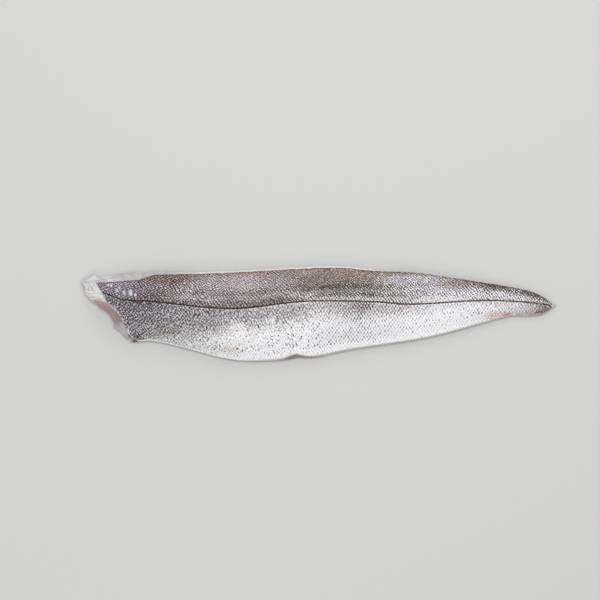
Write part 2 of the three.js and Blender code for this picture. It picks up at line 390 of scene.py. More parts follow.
class Field:
    """A number or colour that varies over a surface. Sums on it add nodes to its material."""

    def __init__(self, tree, socket=None):
        self.tree = tree
        self.socket = socket

    def node(self, kind, settings, inputs, output=0):
        """Adds a node: its settings first, then its inputs' values or links. Gives back one output."""
        made = self.tree.nodes.new(kind)
        for name, setting in settings.items():
            if name == "stops":
                self.set_stops(made.color_ramp.elements, setting)
            else:
                setattr(made, name, setting)
        feed(made, inputs)
        return Field(self.tree, made.outputs[output])

    @staticmethod
    def set_stops(elements, stops):
        """Puts a ramp's stops, each a position and a colour, in place of its own two."""
        elements.remove(elements[1])
        elements[0].position, elements[0].color = stops[0]
        for position, colour in stops[1:]:
            elements.new(position).color = colour

    def math(self, operation, *others):
        """A Math node's result from this number and others."""
        return self.node("ShaderNodeMath", {"operation": operation}, dict(enumerate((self, *others))))

    def __add__(self, other):
        return self.math("ADD", other)

    def __sub__(self, other):
        return self.math("SUBTRACT", other)

    def __rsub__(self, other):
        return self.node("ShaderNodeMath", {"operation": "SUBTRACT"}, {0: other, 1: self})

    def __mul__(self, other):
        return self.math("MULTIPLY", other)

    def __truediv__(self, other):
        return self.math("DIVIDE", other)

    def __pow__(self, other):
        return self.math("POWER", other)

    __radd__ = __add__
    __rmul__ = __mul__

    def attributes(self, names):
        """The values that the mesh holds for each of its points, by their names."""
        fields = {}
        for name in names:
            fields[name] = self.node("ShaderNodeAttribute", {"attribute_name": name}, {}, "Fac")
        return SimpleNamespace(**fields)

    def rise(self, start, end):
        """0 up to start, 1 from end on, and a smooth step between."""
        limits = {"Value": self, "From Min": start, "From Max": end}
        return self.node("ShaderNodeMapRange", {"interpolation_type": "SMOOTHSTEP"}, limits)

    def fall(self, start, end):
        """1 up to start, 0 from end on, and a smooth step between."""
        return 1 - self.rise(start, end)

    def stretch(self, start, full, end, gone):
        """1 from full to end, and smooth steps down to 0 at start and at gone."""
        return self.rise(start, full) * self.fall(end, gone)

    def curve(self, stops, span=LENGTH):
        """A value read from (position, value) stops along this number, which runs from 0 to span."""
        greys = [(at / span, (value, value, value, 1)) for at, value in stops]
        return self.node("ShaderNodeValToRGB", {"stops": greys}, {0: self / span})

    def colours(self, stops, span=1):
        """A colour read from (position, code) stops along this number, which runs from 0 to span."""
        tones = [(at / span, tone(code)) for at, code in stops]
        return self.node("ShaderNodeValToRGB", {"stops": tones}, {0: self / span})

    def painted(self, colour, mask, blend="MIX"):
        """This colour with another, a field or a code, over it where the mask is high."""
        settings = {"data_type": "RGBA", "blend_type": blend}
        over = colour if isinstance(colour, Field) else tone(colour)
        return self.node("ShaderNodeMix", settings, {0: mask, 6: self, 7: over}, 2)

    def shaded(self, colour, mask):
        """This colour as seen through another where the mask is high."""
        return self.painted(colour, mask, "MULTIPLY")

    def point(self, other, third=0):
        """A place made of this number, another and a third."""
        return self.node("ShaderNodeCombineXYZ", {}, {0: self, 1: other, 2: third})

    def grain(self, size, detail):
        """Soft noise from 0 to 1 over this place, with lumps of one size."""
        return self.node("ShaderNodeTexNoise", {}, {"Vector": self, "Scale": 1 / size, "Detail": detail})

    def chance(self):
        """A number from 0 to 1 drawn for each whole-number place."""
        return self.node("ShaderNodeTexWhiteNoise", {}, {"Vector": self})

    def cells(self, unevenness):
        """An uneven cell round each whole-number place: the depth inside it, and a number drawn for it."""
        inputs = {"Vector": self, "Scale": 1, "Randomness": unevenness}
        flat = {"voronoi_dimensions": "2D"}
        depth = self.node("ShaderNodeTexVoronoi", {**flat, "feature": "DISTANCE_TO_EDGE"}, inputs)
        return depth, self.node("ShaderNodeTexVoronoi", flat, inputs, "Color")

    def wave(self):
        """A cosine wave, one turn for each 1 of this number."""
        return (self * (2 * np.pi)).math("COSINE")

    def near(self, other, place, size):
        """1 at a place on the fillet, fading to 0 an oval's size away from it."""
        x = (self - place[0]) / size[0]
        y = (other - place[1]) / size[1]
        return (x * x + y * y).fall(0, 1)


def new_material(name):
    """A material with a bare shader, and the starting point for the fields that feed it."""
    material = bpy.data.materials.new(name)
    material.use_nodes = True
    shader = material.node_tree.nodes["Principled BSDF"]
    return material, shader, Field(material.node_tree)


# Colours from dark grain to pale: the muscle, its underside, and the white band of the back's cut edge,
# with the stretch of the fillet that has the band.
MUSCLE_TONES = [(0.3, "aaa4a4"), (0.5, "b6b2b2"), (0.7, "c6c3c3")]
UNDER_TONES = [(0.3, "cdbfba"), (0.7, "e2dbd7")]
BAND_TONES = [(0.3, "d6cdc9"), (0.45, "e8e5e3"), (0.6, "f4f3f1")]
BAND_STRETCH = (70, 110, 240, 270)
# The head cut from the back down: the white lobe, the arched fibres, the blood-tinged strip and the grey
# flap, each with its grain, its stretch of the cut's width, and its colours.
HEAD_CUT_PARTS = [
    ("layer", (-0.01, 0, 0.38, 0.44), [(0.3, "999697"), (0.45, "bab9bb"), (0.6, "e3e3e5")]),
    ("fibre", (0.35, 0.42, 0.51, 0.57), [(0.3, "b8a294"), (0.48, "d4d1cf"), (0.62, "f2f1f0")]),
    ("layer", (0.49, 0.55, 0.76, 0.82), [(0.32, "695d62"), (0.48, "8a7575"), (0.64, "ab918b")]),
    ("layer", (0.74, 0.8, 1.1, 1.16), [(0.35, "978c80"), (0.5, "aeaaa7"), (0.65, "c3c1bf")]),
]
# Blood and salmon tints over them: colour, stretch of the width, fall on the way down, and strength.
HEAD_CUT_TINTS = [
    ("9c6558", (0.58, 0.7, 0.74, 0.8), (0.1, 0.45), 0.55),
    ("b0938a", (0.5, 0.54, 0.57, 0.64), (0.4, 0.7), 0.5),
]
LIP_WHITE = "c9c5c5"
# Seams and streaks of the long cut edges, and seams and middle line of the underside.
EDGE_SEAM = "a58f89"
EDGE_STREAK = "9a8d8b"
UNDER_SEAM = "a28f8a"
MIDLINE_BLOOD = "94675a"
# Dark spots at the head cut's belly corner, and the shade round the nick: colour, place and size.
CORNER_SPOTS = [("6d5430", (42.5, -18), (4, 3.5)), ("413b36", (46, -22.5), (4, 3))]
NICK_SHADE = "7d6664"
NICK_PLACE = (181, -36)
NICK_SIZE = (24, 6)


def flesh_fields(start):
    """The places and soft noises that the flesh's colours are worked out from."""
    at = start.attributes(flesh_values)
    at.place = at.along.point(at.crosswise)
    at.cloud = at.place.grain(7, 3)
    at.bend = at.around.point(at.down * LUMPS_DOWN).grain(LUMP_SIZE, 2)
    at.layer = (at.around * 0.09).point(at.down * 13 + at.bend * 3).grain(1, 2)
    at.fibre = (at.around * 0.8).point(at.down * 1.6).grain(1, 2)
    at.underneath = at.down.rise(1, 1.25)
    at.long_edges = at.head_cut.fall(0, 0.6) * (1 - at.underneath)
    flake = at.around / FLAKE_LENGTH + at.down * 0.7 + at.bend * 0.6 + at.cloud * 2
    at.edge_seam = flake.wave().rise(0.75, 1) * at.bend.rise(0.35, 0.6)
    return at


def with_long_edges(colour, at):
    """A flesh colour with the back's white band, and seams and streaks on both long cut edges."""
    on_back = at.down.fall(0.9, 1.1) * at.width.fall(0, 0.02)
    band = at.along.stretch(*BAND_STRETCH) * on_back
    colour = colour.painted(at.layer.colours(BAND_TONES), band * 0.9)
    colour = colour.painted(EDGE_SEAM, at.long_edges * at.edge_seam * 0.4)
    return colour.painted(EDGE_STREAK, at.long_edges * at.layer.rise(0.52, 0.68) * 0.35)


def with_head_cut(colour, at):
    """A flesh colour with the parts of the head cut, wavy where they meet, and its pale lower lip."""
    wavy_width = at.width + (at.bend - 0.5) * 0.1 + (at.cloud - 0.5) * 0.06
    for grain, part_stretch, tones in HEAD_CUT_PARTS:
        part = wavy_width.stretch(*part_stretch) * at.head_cut.rise(0, 0.6)
        colour = colour.painted(getattr(at, grain).colours(tones), part * 0.85)
    for code, tint_stretch, tint_fall, strength in HEAD_CUT_TINTS:
        tint = at.head_cut * wavy_width.stretch(*tint_stretch) * at.down.fall(*tint_fall)
        colour = colour.painted(code, tint * strength)
    lip = at.head_cut * at.width.rise(0.45, 0.55) * at.down.stretch(0.72, 0.95, 1, 1.2)
    return colour.painted(LIP_WHITE, lip * 0.8)


def with_spots(colour, at):
    """A flesh colour with the dark spots at the belly corner and the shade round the nick."""
    for code, centre, size in CORNER_SPOTS:
        spot = at.along.near(at.crosswise, centre, size) * (1 - at.underneath)
        colour = colour.painted(code, spot * 0.9)
    nick = at.along.near(at.crosswise, NICK_PLACE, NICK_SIZE) * (1 - at.underneath)
    return colour.painted(NICK_SHADE, nick * (0.4 + 0.8 * at.cloud))


def flesh_material():
    """Raw white fish: cloudy pale muscle in fine layers, with a blood-tinged strip on the head cut."""
    material, shader, start = new_material("raw_white_flesh")
    at = flesh_fields(start)
    colour = at.cloud.colours(MUSCLE_TONES)
    colour = colour.painted(at.cloud.colours(UNDER_TONES), at.underneath)
    colour = with_spots(with_head_cut(with_long_edges(colour, at), at), at)
    colour = colour.painted(UNDER_SEAM, at.seam * 0.6)
    colour = colour.painted(MIDLINE_BLOOD, at.midline * (0.3 + 0.8 * at.cloud))
    grain = at.place.grain(0.8, 2)
    height = at.fibre * 0.5 + at.layer * 0.5 + grain * 0.4 - at.long_edges * at.edge_seam * 0.6
    normal = start.node("ShaderNodeBump", {}, {"Strength": 0.5, "Distance": 0.6 * MM, "Height": height})
    feed(shader, {
        "Base Color": colour,
        "Roughness": 0.25 + at.cloud * 0.25,
        "Normal": normal,
        "Subsurface Weight": 0.15,
        "Subsurface Radius": (3 * MM, 2.4 * MM, 2 * MM),
        "Subsurface Scale": 1,
        "Coat Weight": 0.25,
        "Coat Roughness": 0.15,
    })
    return material


flesh.data.materials.append(flesh_material())
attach(flesh, BODY)
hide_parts(NODE)


# The skin
# A thin, tough skin grown onto the flesh, covered in small overlapping scales in slanting rows. It is
# mauve-grey and brown along the back, silvery white on the belly, with a dark lateral line between them.
SKIN_STATIONS = 760
SKIN_BACK_STEPS = 44
SKIN_BELLY_STEPS = 68
SKIN_STEPS = SKIN_BACK_STEPS + SKIN_BELLY_STEPS
INSIDE_STRIDE = 4
LINE_GROOVE = 0.45
LINE_WIDTH = 0.8
EDGE_ROLL = 0.35
EDGE_ROLL_WIDTH = 0.8
EDGE_RAGGED = [(0.7, 5), (0.5, 1.7)]
EDGE_RAGGED_DEPTH = 1.6
LONG_EDGE_RAGGED = 0.4

# Scales: their length near the head and how they shrink towards the tail, the distance across the flank
# after which each family of rows repeats above and below the line, and how far the rows wander.
SCALE_LENGTH = 2.95
SCALE_SHRINK = 0.0005
ROW_A_ACROSS = (4.4, 4.8)
ROW_B_ACROSS = (2.8, 5)
ROW_BEND = [(0, 0.002), (150, 0.0025), (205, 0.005), (260, 0.003), (392, 0.003)]
ROW_WANDER = [(0, 1), (150, 0.8), (200, 0.45), (270, 0.5), (392, 0.8)]
WANDER_SIZES = [(0.7, 7), (0.16, 2.7)]
SCALE_LIFT = 0.14
# Raised pale blisters near the head cut: place and size.
BLISTERS = [
    ((24, 23.8), (1.3, 1.3)), ((26.4, 23.4), (1.4, 2)), ((31.2, 19.4), (1.4, 1.8)),
    ((33.4, 21.2), (1.1, 1.2)), ((37.1, 17.3), (1.6, 2.3)), ((42.6, 17.2), (2.2, 3.6)),
    ((46.6, 15.4), (1.4, 1.9)),
]
BLISTER_LIFT = 0.45

share, across = ribs(SKIN_STATIONS, SKIN_BACK_STEPS, SKIN_BELLY_STEPS)
skin = on_skin(share, across)
steps_apart = np.linalg.norm(np.diff(skin, axis=1), axis=-1)
from_back = np.pad(np.cumsum(steps_apart, axis=1), ((0, 0), (1, 0)))
flank = from_back[:, SKIN_BACK_STEPS:SKIN_BACK_STEPS + 1] - from_back
from_belly = from_back[:, -1:] - from_back
from_head = skin[..., 0] - skin[:1, :, 0]
from_tail = skin[-1:, :, 0] - skin[..., 0]
rim = np.minimum(np.minimum(from_back, from_belly), np.minimum(from_head, from_tail))
at_head = from_head < np.minimum(from_back, from_belly)
for amount, size in EDGE_RAGGED:
    tear = amount * lumps(skin[..., 0], skin[..., 1], size) * np.exp(-rim / EDGE_RAGGED_DEPTH)
    skin[..., 0] += np.where(at_head, tear, 0)
    skin[..., 1] += np.where(at_head, 0, LONG_EDGE_RAGGED * tear)
x = skin[..., 0]
y = skin[..., 1]


def scale_rows(x, flank):
    """Phases of the two slanting families of scale rows, with a whole number at each joint of two rows."""
    shrink = 1 + SCALE_SHRINK * x
    lengthwise = x * (1 + SCALE_SHRINK * x / 2) / SCALE_LENGTH
    rows = []
    for sign, (back_size, belly_size) in ((1, ROW_A_ACROSS), (-1, ROW_B_ACROSS)):
        size = np.where(flank > 0, back_size, belly_size)
        crosswise = flank * shrink / size + through(ROW_BEND, x) * np.clip(flank, 0, None) ** 2
        wander = sum(amount * lumps(x + sign * LENGTH, flank, lump) for amount, lump in WANDER_SIZES)
        rows.append(lengthwise + sign * crosswise + np.where(flank > 0, 1, through(ROW_WANDER, x)) * wander)
    return rows


def scale_laps(row_a, row_b):
    """Height of the lapped scales: each climbs towards the tail and drops at its round rear edge."""
    ahead_a = row_a % 1
    ahead_b = row_b % 1
    return (ahead_a + ahead_b) / 2 - 0.5 * ease(0.85, 1.15, np.hypot(ahead_a, ahead_b))


row_a, row_b = scale_rows(x, flank)
skin_relief = SCALE_LIFT * (scale_laps(row_a, row_b) - 0.5) * ease(0, 2, rim) * ease(0.5, 2, np.abs(flank))
skin_relief -= LINE_GROOVE * np.exp(-((flank / LINE_WIDTH) ** 2))
skin_relief -= EDGE_ROLL * np.exp(-rim / EDGE_ROLL_WIDTH)
for (spot_x, spot_y), (wide, high) in BLISTERS:
    skin_relief += BLISTER_LIFT * np.exp(-2 * (((x - spot_x) / wide) ** 2 + ((y - spot_y) / high) ** 2))
skin[..., 2] += skin_relief

inside = skin[::INSIDE_STRIDE, ::INSIDE_STRIDE] - (0, 0, SKIN_THICKNESS)
inside_stations = SKIN_STATIONS // INSIDE_STRIDE
inside_steps = SKIN_STEPS // INSIDE_STRIDE
first_inside = x.size


def rim_faces(upper, lower):
    """Triangles from a fine loop down to a coarser one with a point for every few of the fine loop's."""
    faces = []
    for n, corner in enumerate(lower):
        following = lower[(n + 1) % len(lower)]
        run = [upper[(n * INSIDE_STRIDE + k) % len(upper)] for k in range(INSIDE_STRIDE + 1)]
        half = INSIDE_STRIDE // 2
        faces += [(run[k], run[k + 1], corner) for k in range(half)]
        faces += [(run[k], run[k + 1], following) for k in range(half, INSIDE_STRIDE)]
        faces.append((run[half], following, corner))
    return np.array(faces)


rows, columns = edge_round(SKIN_STATIONS, SKIN_STEPS)
upper_loop = rows * (SKIN_STEPS + 1) + columns
rows, columns = edge_round(inside_stations, inside_steps)
lower_loop = first_inside + rows * (inside_steps + 1) + columns
outer_quads = grid_faces(0, SKIN_STATIONS, SKIN_STEPS, True)
rim_triangles = rim_faces(upper_loop.tolist(), lower_loop.tolist())
inner_quads = grid_faces(first_inside, inside_stations, inside_steps, False)


def with_inside(value):
    """A value on the outer face's points, followed by the same on the inner face's."""
    return np.concatenate([value.ravel(), value[::INSIDE_STRIDE, ::INSIDE_STRIDE].ravel()])


skin_values = {
    "along": x, "crosswise": y, "flank": flank, "across": across, "from_back": from_back,
    "from_belly": from_belly, "from_head": from_head, "row_a": row_a, "row_b": row_b,
}
skin_piece = make_piece(
    "fillet_skin",
    np.concatenate([skin.reshape(-1, 3), inside.reshape(-1, 3)]),
    [*outer_quads.tolist(), *rim_triangles.tolist(), *inner_quads.tolist()],
    {name: with_inside(value) for name, value in skin_values.items()},
)

# The skin laid flat on a square sheet for its baked colours: the outer face's head half and tail half
# as two strips at one scale, with its rim round them, and the hidden inner face small above them.
SHEET_GAP = 2.5
INNER_SCALE = 0.3
half_length = LENGTH / 2
sheet_size = half_length + 2 * SHEET_GAP
station_length = share * LENGTH
strip_height = np.ptp(flank) + 2 * SHEET_GAP


def on_strip(length, height, half):
    """Places on the sheet of points that are laid out along and across the fillet."""
    right = length - half * half_length + SHEET_GAP
    up = height - flank.min() + half * strip_height + SHEET_GAP
    return np.stack([right, up], -1)


def flat_corners():
    """A place on the sheet for each corner of each face of the skin."""
    length = with_inside(station_length)
    height = with_inside(flank)
    tailward = np.where(rows == inside_stations, 1, 0) - np.where(rows == 0, 1, 0)
    backward = np.where(columns == 0, 1, 0) - np.where(columns == inside_steps, 1, 0)
    length[lower_loop] += SKIN_THICKNESS * tailward
    height[lower_loop] += SKIN_THICKNESS * backward
    corners = []
    for faces in (outer_quads, rim_triangles):
        half = length[faces].mean(axis=1, keepdims=True) > half_length
        corners.append(on_strip(length[faces], height[faces], half).reshape(-1, 2))
    inner_length = length[inner_quads] * INNER_SCALE + SHEET_GAP
    inner_height = (height[inner_quads] - flank.min()) * INNER_SCALE + SHEET_GAP + 2 * strip_height
    corners.append(np.stack([inner_length, inner_height], -1).reshape(-1, 2))
    return np.concatenate(corners) / sheet_size


sheet = skin_piece.data.uv_layers.new(name="OFBake")
sheet.data.foreach_set("uv", flat_corners().ravel())

# Ground colours along the back and just below the lateral line, by millimetres from the head.
BACK_COLOURS = [
    (21, "665c76"), (42, "625666"), (67, "5b4f54"), (100, "665c63"), (133, "93878f"), (166, "766867"),
    (199, "674e38"), (232, "6b5441"), (265, "878388"), (298, "a4a3aa"), (332, "aaaab2"), (356, "a4a3aa"),
    (374, "756a69"), (392, "4f4442"),
]
FLANK_COLOURS = [
    (42, "3c3143"), (67, "57525b"), (100, "74757a"), (133, "929397"), (166, "a2a2a6"), (199, "acacb0"),
    (232, "a4a4a8"), (265, "bcbdc1"), (298, "dedee1"), (332, "dcd9db"), (358, "cec9ca"), (385, "766c6b"),
]
BELLY_WHITE = "f8f8fa"
# Where the belly's white starts across the flank, and how white it gets, along the fillet.
BELLY_START = [
    (0, 0.5), (66, 0.42), (100, 0.34), (133, 0.08), (172, 0.15), (200, 0), (232, 0.12), (260, 0.05),
    (392, 0),
]
BELLY_BLEND = 0.5
BELLY_STRENGTH = [
    (0, 0), (45, 0.22), (66, 0.4), (100, 0.65), (133, 0.9), (166, 1), (300, 1), (340, 0.8), (365, 0.4),
    (392, 0.15),
]
# How much painted shade greys the white belly inside its edge, where it curves away from the light.
BELLY_SHADE = [
    (100, 0), (130, 0.2), (185, 0.2), (205, 0.5), (235, 0.6), (262, 0.4), (280, 0.25), (320, 0.3),
    (345, 0.4), (360, 0.9), (380, 1),
]
# How far the skin darkens just above the lateral line.
LINE_SHADE = [
    (0, 0.1), (25, 0.4), (42, 0.8), (65, 1), (85, 0.7), (110, 0.5), (125, 0.9), (150, 1), (165, 0.8),
    (185, 0.1), (200, 0),
]
# How much of the scales' area dark pigment covers along the back, below the line, and on the belly.
BACK_PIGMENT = [
    (0, 0.52), (40, 0.56), (70, 0.61), (110, 0.58), (140, 0.51), (170, 0.68), (200, 0.78), (235, 0.76),
    (265, 0.6), (300, 0.54), (392, 0.62),
]
FLANK_PIGMENT = [
    (50, 0.73), (75, 0.58), (110, 0.51), (145, 0.39), (165, 0.39), (200, 0.46), (235, 0.54),
    (290, 0.31), (350, 0.28), (392, 0.5),
]
BELLY_PIGMENT = [
    (0, 0.45), (100, 0.32), (150, 0.22), (185, 0.28), (240, 0.44), (285, 0.17), (315, 0.19), (340, 0.31),
    (392, 0.45),
]
# Patches where the marks lie denser or thinner: place, oval size, and the change in pigment.
DENSE_PATCHES = [
    ((232, 6), (14, 4.5), 0.22), ((233, 0), (8, 3), 0.12), ((226, 18), (50, 8.5), 0.31),
    ((75, 27), (24, 6), 0.17), ((148, 13), (36, 9), 0.2), ((140, 25), (26, 8), -0.06),
    ((58, 12), (18, 7), 0.17), ((300, 11), (30, 5), -0.2), ((344, 22), (14, 4), 0.3),
    ((63, 14), (10, 5), 0.15), ((222, 12.5), (44, 3.5), -0.35), ((52, -18), (14, 7), 0.15),
    ((163, 30), (26, 8), 0.14), ((214, 33), (42, 6), -0.12), ((122, -18), (20, 9), -0.18),
    ((298, -4), (22, 8), -0.08), ((172, -3), (12, 6), 0.1), ((212, -3), (10, 5), -0.12),
]
# The change in pigment near the back's edge, before the tail and on it.
BODY_RIM_PIGMENT = -0.16
TAIL_RIM_PIGMENT = 0.34
# How far the rows that slant one way outdo those that slant the other: 1 is all, 0.5 a diamond net. Near
# the back's edge they yield to the other ones, and on the belly both are even.
BACK_SLANT = [
    (0, 0.55), (70, 0.65), (85, 0.92), (106, 0.92), (122, 0.6), (145, 0.7), (175, 0.88), (215, 0.8),
    (260, 0.68), (392, 0.58),
]
BACK_EDGE_SLANT = 0.26
FLANK_SLANT = [
    (0, 0.55), (70, 0.42), (95, 0.6), (120, 0.55), (142, 0.9), (162, 0.85), (180, 0.52), (260, 0.5),
    (392, 0.55),
]
# How far the marks stray from their rows, above and below the line, and how uneven the scales are.
BACK_STRAY = [(0, 0.95)]
FLANK_STRAY = [
    (0, 0.95), (90, 1.05), (125, 1.3), (185, 1.25), (205, 0.7), (265, 0.7), (300, 0.9), (392, 0.9),
]
SCALE_UNEVEN = 0.7
# How bright the scales' pale middles are along the back, below the line, and on the belly: silvery, with
# painted highlight.
BACK_PALE = [
    (0, 0.7), (40, 0.72), (70, 0.84), (110, 0.8), (135, 0.7), (165, 0.72), (200, 0.83), (240, 0.85),
    (270, 0.9), (365, 0.9), (385, 0.6),
]
FLANK_PALE = [(60, 0.66), (100, 0.73), (180, 0.85), (260, 0.9), (300, 1), (360, 0.9), (385, 0.6)]
BELLY_PALE = 1
# Where the skin just above the line pales.
LINE_WHITE = [(165, 0), (182, 0.15), (200, 0.6), (228, 0.9), (255, 0.7), (285, 1), (392, 0.9)]
# Half the width of the lateral line's dark core, and how far the line fades out past it.
LINE_CORE = 0.4
LINE_SPREAD = [
    (0, 0.68), (60, 0.73), (130, 0.83), (155, 0.48), (175, 0.33), (200, 0.2), (222, 0.58), (290, 0.5),
    (392, 0.25),
]
# The brown line along the back's cut edge.
BACK_BROWN = [
    (0, 0), (42, 0.15), (52, 0.85), (95, 0.7), (115, 0.5), (160, 0.45), (200, 0.5), (225, 0.4), (262, 0.9),
    (298, 0.5), (320, 0.7), (345, 1), (392, 0.9),
]
# Stains over the skin and its marks, and one painted shade: the light they let through, place and oval
# size, strength.
STAINS = [
    ("a07a48", (214, 25), (50, 12), 1),
    ("ac8238", (72, 29), (34, 8), 0.9),
    ("c89e58", (208, 34), (60, 8), 0.7),
    ("bc9450", (128, 33.5), (48, 4.5), 0.7),
    ("b08a4c", (262, 34), (36, 5), 0.9),
    ("c09674", (347, -2.5), (14, 5.5), 0.7),
    ("e08a78", (355, -1.5), (5, 2.6), 0.7),
    ("8a5434", (377, 17), (14, 5), 0.9),
    ("a47844", (325, 24.5), (52, 4.5), 0.85),
    ("8f5c40", (384, 1.5), (11, 4), 0.85),
    # Painted shade along the tail's belly edge.
    ("a08674", (368, -1.5), (22, 3), 0.6),
    ("d8ab70", (126, -30), (15, 4), 0.35),
    ("b89468", (76, -14), (16, 6), 0.6),
    ("86683c", (46, -18), (4, 3.5), 0.9),
    ("564c44", (50, -21), (4, 3), 0.9),
]
# Single colours, named for what they paint.
CLOUD_GREY = "857a80"
PATCH_PALE = "d8d2da"
LINE_PALE = "e6e4e8"
LINE_SHADOW = "3d3437"
LAP_SHADOW = "b9b4bb"
NET_SHADOW = "aaa7ac"
# Painted shade for the white belly inside its edge.
BELLY_PAINTED_SHADE = "d3d2d3"
BACK_EDGE_BROWN = "4a340c"
TORN_SILVER = "dfe2e8"
LINE_FLECK = "74501a"
# Pale middles of the belly's scales: white, with painted highlight.
PALE_BELLY_SCALES_AND_HIGHLIGHT = "ffffff"
# Colours by millimetres from the head.
# Pale scale middles: silvery colour with painted highlight.
PALE_SCALES_AND_HIGHLIGHT = [(40, "e6dff0"), (80, "ebe2ec"), (150, "ece5ed"), (260, "f0eff5")]
BELLY_MARKS = [(270, "4b474d"), (330, "503630")]
# The belly's rim: painted light, white near the head where the rolled edge turns from the lights, then its
# own pinkish brown.
BELLY_RIM_LIGHT_AND_TINT = [(125, "ffffff"), (165, "b3a3a0")]
LINE_COLOURS = [(60, "200c02"), (220, "2e1802"), (300, "3a2202")]
# Colours by a share: dark marks from black to brown, warm and cool flecks from above the line to below it,
# and blisters from rim to middle.
BACK_MARKS = [(0.4, "120c0d"), (0.6, "4f2d10")]
WARM_FLECKS = [(0, "d9b98c"), (1, "dacb9e")]
COOL_FLECKS = [(0, "cdc6ec"), (1, "c6c9ea")]
# Blisters: painted shade at the rim, their own pale colour and a painted highlight in the middle.
BLISTER_COLOURS = [(0.1, "88838e"), (0.7, "c0c2ca")]


def skin_fields(start):
    """The places, row phases and soft noises that the skin's colours are worked out from."""
    at = start.attributes(skin_values)
    at.place = at.along.point(at.flank)
    at.cloud = at.place.grain(15, 3)
    at.patch = at.along.point(at.flank, 40).grain(9, 2)
    at.tint = at.along.point(at.flank, 80).grain(1.6, 2)
    at.hue = at.along.point(at.flank, 120).grain(1.2, 1)
    at.fine = at.place.grain(0.7, 2)
    at.speckle = at.place.grain(0.3, 1)
    at.below_line = at.flank.fall(-2, 1)
    at.white = belly_white(at)
    near_line = at.flank.rise(-1, 1) * (at.flank + (at.patch - 0.5) * 8).fall(8, 17)
    at.line_shade = near_line * at.along.curve(LINE_SHADE)
    at.lap, at.rear_edge = lap_fields(at)
    at.dark, at.pale, at.net, at.scale_luck = scale_marks(at)
    at.line = lateral_line(at)
    return at


def belly_white(at):
    """How white the belly is, with a cloudy upper border."""
    start = at.along.curve(BELLY_START)
    white = (at.across + (at.cloud - 0.5) * 0.5).rise(start, start + BELLY_BLEND)
    return white * at.along.curve(BELLY_STRENGTH)


def ground_colour(at):
    """The skin's colour under its scale marks."""
    ground = at.along.colours(BACK_COLOURS, LENGTH)
    ground = ground.painted(at.along.colours(FLANK_COLOURS, LENGTH), at.below_line)
    ground = ground.painted(BELLY_WHITE, at.white)
    ground = ground.painted(CLOUD_GREY, at.cloud.rise(0.5, 0.7) * (1 - at.white) * 0.2)
    ground = ground.painted(PATCH_PALE, at.patch.rise(0.52, 0.72) * (1 - at.white) * 0.2)
    white_reach = 5.5 + 4.5 * at.along.rise(240, 290)
    line_white = (at.flank + (at.patch - 0.5) * 6).fall(2, white_reach)
    line_white = line_white * at.along.curve(LINE_WHITE)
    ground = ground.painted(LINE_PALE, line_white * at.flank.rise(-1, 1))
    return ground.painted(LINE_SHADOW, at.line_shade * 0.85)


def by_flank(at, back_curve, flank_curve):
    """A value that runs along one curve above the lateral line and along another below it."""
    back = at.along.curve(back_curve)
    return between(back, at.along.curve(flank_curve), at.below_line)


def pigment_share(at):
    """How much of the skin is under dark pigment."""
    pigment = by_flank(at, BACK_PIGMENT, FLANK_PIGMENT)
    pigment = between(pigment, at.along.curve(BELLY_PIGMENT), at.white)
    pigment = pigment + (at.cloud - 0.5) * 0.3 + (at.patch - 0.5) * at.white * 0.4
    for centre, size, change in DENSE_PATCHES:
        pigment = pigment + change * at.along.near(at.crosswise, centre, size)
    back_rim = between(BODY_RIM_PIGMENT, TAIL_RIM_PIGMENT, at.along.rise(235, 345))
    pigment = pigment + back_rim * at.along.rise(90, 130) * at.from_back.fall(1.5, 8)
    return pigment - 0.3 * at.white * at.from_belly.fall(2, 10)


def row_slant(at):
    """How far the rows that slant one way outdo the others."""
    yielding = BACK_EDGE_SLANT * at.flank.rise(9, 20) * at.along.fall(230, 290)
    slant = by_flank(at, BACK_SLANT, FLANK_SLANT) - yielding - 0.6 * (at.patch - 0.5)
    return between(slant, 0.5, at.across.rise(0.35, 0.6))


def mark_course(at, scale_depth):
    """The soft course of the marks: high where scales join, low in their middles, straying from rows."""
    slant = row_slant(at)
    stray = by_flank(at, BACK_STRAY, FLANK_STRAY)
    weave = between(at.row_b.wave(), at.row_a.wave(), slant)
    loose = (at.row_a * 2.1).point(at.row_b * 1.1).grain(1, 1)
    streaks = (at.row_a * 2.3).point(at.row_b * 0.7).grain(1, 1)
    jumble = between(loose, streaks, slant.rise(0.55, 0.9)) - 0.5
    netted = (0.65 - 4 * scale_depth) * (0.75 - 0.2 * at.below_line)
    course = weave * (1 - 0.55 * stray) + (2.8 * jumble + netted) * stray
    return course + (1.7 - 0.5 * at.white) * (at.fine - 0.5) + 0.2 * (at.speckle - 0.5)


def scale_marks(at):
    """Dark pigment where scales join, the scales' pale middles for colour and painted highlight, the net
    between, and a draw per scale.
    """
    bent = 0.7 * (at.fine - 0.5) - 0.5 * SCALE_UNEVEN
    depth, scale_luck = (at.row_a + bent).point(at.row_b + bent).cells(SCALE_UNEVEN)
    course = mark_course(at, depth)
    joint_luck = (at.row_a + 0.5).math("FLOOR").point((at.row_b + 0.5).math("FLOOR")).chance()
    even_net = at.along.stretch(190, 215, 262, 290)
    dark = course + (0.3 + 0.8 * at.white * (1 - 0.6 * even_net)) * (joint_luck - 0.5)
    threshold = 1.05 + 0.12 * at.white - 1.5 * pigment_share(at)
    halo = dark.rise(threshold - 0.6, threshold + 0.3)
    core = dark.rise(threshold - 0.15, threshold + 0.4)
    pale = 0.4 * (scale_luck - 0.5) - course
    pale = 0.5 * (pale.rise(-0.3, 0.5) + pale.rise(0.1, 0.7))
    return 0.4 * halo + 0.6 * core, pale, course.rise(-0.7, 1), scale_luck


